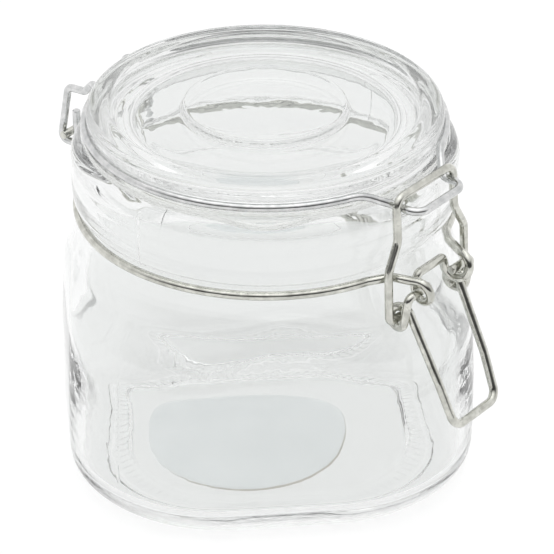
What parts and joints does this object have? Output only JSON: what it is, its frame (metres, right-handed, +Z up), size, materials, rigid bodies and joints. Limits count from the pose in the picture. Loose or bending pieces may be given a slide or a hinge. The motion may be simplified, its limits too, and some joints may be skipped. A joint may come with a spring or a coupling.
{
  "type": "bail clamp jar",
  "caption": "Square glass storage jar with rounded corners, a glass lid on a rubber gasket, and a toggle clasp and hinge bent from steel wire",
  "frame": {"origin": "Middle of the object's outline in plan, on the surface that it stands on. The jar's own axis is 4 mm behind it, at y = +0.004.", "axes": "+Z up, the clasp toward -Y, the lid hinge toward +Y, every pivot along X. The body's corners lie on X and Y, so its flat sides face between them."},
  "size_m": [0.1202, 0.1315, 0.099],
  "materials": {
    "jar_glass": "clear pressed soda-lime glass",
    "lid_glass": "clear pressed soda-lime glass",
    "label_paper": "blank matt paper sticker",
    "gasket_rubber": "translucent colourless silicone rubber",
    "lid_steel": "bright drawn steel wire",
    "clasp_steel": "bright drawn steel wire, slightly warm grey"
  },
  "bodies": {
    "jar": {"jar_body": "jar_glass", "base_label": "label_paper", "neck_wire": "clasp_steel"},
    "lid_unit": {"lid": "lid_glass", "lid_wire": "lid_steel", "gasket": "gasket_rubber"},
    "lever_unit": {"lever": "clasp_steel"},
    "link_unit": {"bail_link": "clasp_steel"}
  },
  "joints": [
    {"name": "lid_hinge", "type": "hinge", "parent": "jar", "child": "lid_unit", "pos_m": [0, 0.0622, 0.0752], "axis": [-1, 0, 0], "range_deg": [0, 200]},
    {"name": "lever_pivot", "type": "hinge", "parent": "jar", "child": "lever_unit", "pos_m": [0, -0.0523, 0.0674], "axis": [-1, 0, 0], "range_deg": [0, 115]},
    {"name": "link_pivot", "type": "hinge", "parent": "lever_unit", "child": "link_unit", "pos_m": [0, -0.0486, 0.0603], "axis": [-1, 0, 0], "range_deg": [-133, 0]}
  ],
  "couplings": [
    {"joint": "link_pivot", "follows": "lever_pivot", "ratio": -1.15}
  ]
}
